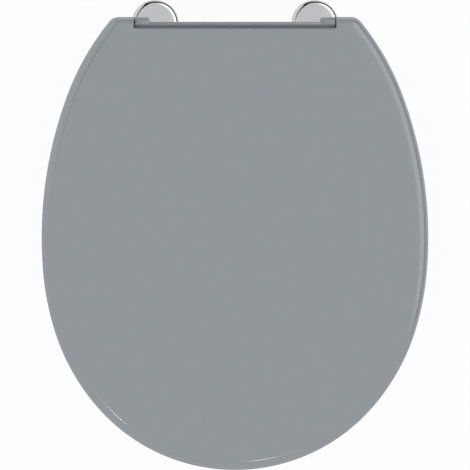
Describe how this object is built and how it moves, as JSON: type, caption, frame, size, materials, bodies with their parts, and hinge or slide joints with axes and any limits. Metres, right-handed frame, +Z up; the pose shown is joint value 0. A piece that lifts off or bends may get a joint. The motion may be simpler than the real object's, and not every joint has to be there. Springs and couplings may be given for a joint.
{
  "type": "toilet seat",
  "caption": "Closed grey toilet seat: an oval lid over a seat ring, hinged on two posts that rise from round chrome caps, with studs to clamp it to the bowl.",
  "frame": {"origin": "midway between the two fixing studs, on the ceramic's top face", "axes": "+Z up, +Y to the back of the seat, X from side to side across the studs"},
  "size_m": [0.3744, 0.4558, 0.132],
  "materials": {
    "grey_thermoset": "glossy moulded thermoset, mid grey",
    "chrome": "polished chrome plate",
    "steel": "plain stainless steel",
    "dark_plastic": "dark grey moulded nylon",
    "white_plastic": "white moulded acetal",
    "rubber": "soft grey rubber"
  },
  "bodies": {
    "fixings": {"lid_damper_shaft": "steel", "ring_damper_shaft": "steel", "hinge_hub_left": "dark_plastic", "hinge_hub_right": "dark_plastic", "hinge_post_left": "steel", "hinge_post_right": "steel", "cap_left": "chrome", "cap_right": "chrome", "base_plate_left": "dark_plastic", "base_plate_right": "dark_plastic", "foot_pad_left": "rubber", "foot_pad_right": "rubber", "stud_left": "steel", "stud_right": "steel", "cone_washer_left": "rubber", "cone_washer_right": "rubber", "clamp_washer_left": "white_plastic", "clamp_washer_right": "white_plastic"},
    "ring": {"seat_ring": "grey_thermoset", "ring_buffer_front_left": "rubber", "ring_buffer_front_right": "rubber", "ring_buffer_rear_left": "rubber", "ring_buffer_rear_right": "rubber", "ring_damper_cartridge": "dark_plastic", "lug_bush": "white_plastic"},
    "lid": {"lid": "grey_thermoset", "lid_buffer_front_left": "rubber", "lid_buffer_front_right": "rubber", "lid_buffer_rear_left": "rubber", "lid_buffer_rear_right": "rubber", "lid_damper_cartridge": "dark_plastic", "ear_bush": "white_plastic"},
    "latch_left": {"release_latch_left": "white_plastic"},
    "latch_right": {"release_latch_right": "white_plastic"},
    "nut_left": {"wing_nut_left": "white_plastic"},
    "nut_right": {"wing_nut_right": "white_plastic"}
  },
  "joints": [
    {"name": "ring_hinge", "type": "hinge", "parent": "fixings", "child": "ring", "pos_m": [0, -0.006, 0.03], "axis": [-1, 0, 0], "range_deg": [0, 95]},
    {"name": "lid_hinge", "type": "hinge", "parent": "ring", "child": "lid", "pos_m": [0, -0.006, 0.03], "axis": [1, 0, 0], "range_deg": [-100, 0]},
    {"name": "latch_left_slide", "type": "slide", "parent": "fixings", "child": "latch_left", "axis": [0, -1, 0], "range_m": [0, 0.0024], "stiffness_N_per_m": 400, "springref_m": -0.001},
    {"name": "latch_right_slide", "type": "slide", "parent": "fixings", "child": "latch_right", "axis": [0, -1, 0], "range_m": [0, 0.0024], "stiffness_N_per_m": 400, "springref_m": -0.001},
    {"name": "wing_nut_left_turn", "type": "hinge", "parent": "fixings", "child": "nut_left", "pos_m": [-0.0775, 0, -0.05], "axis": [0, 0, 1], "continuous": true},
    {"name": "wing_nut_right_turn", "type": "hinge", "parent": "fixings", "child": "nut_right", "pos_m": [0.0775, 0, -0.05], "axis": [0, 0, 1], "continuous": true}
  ]
}
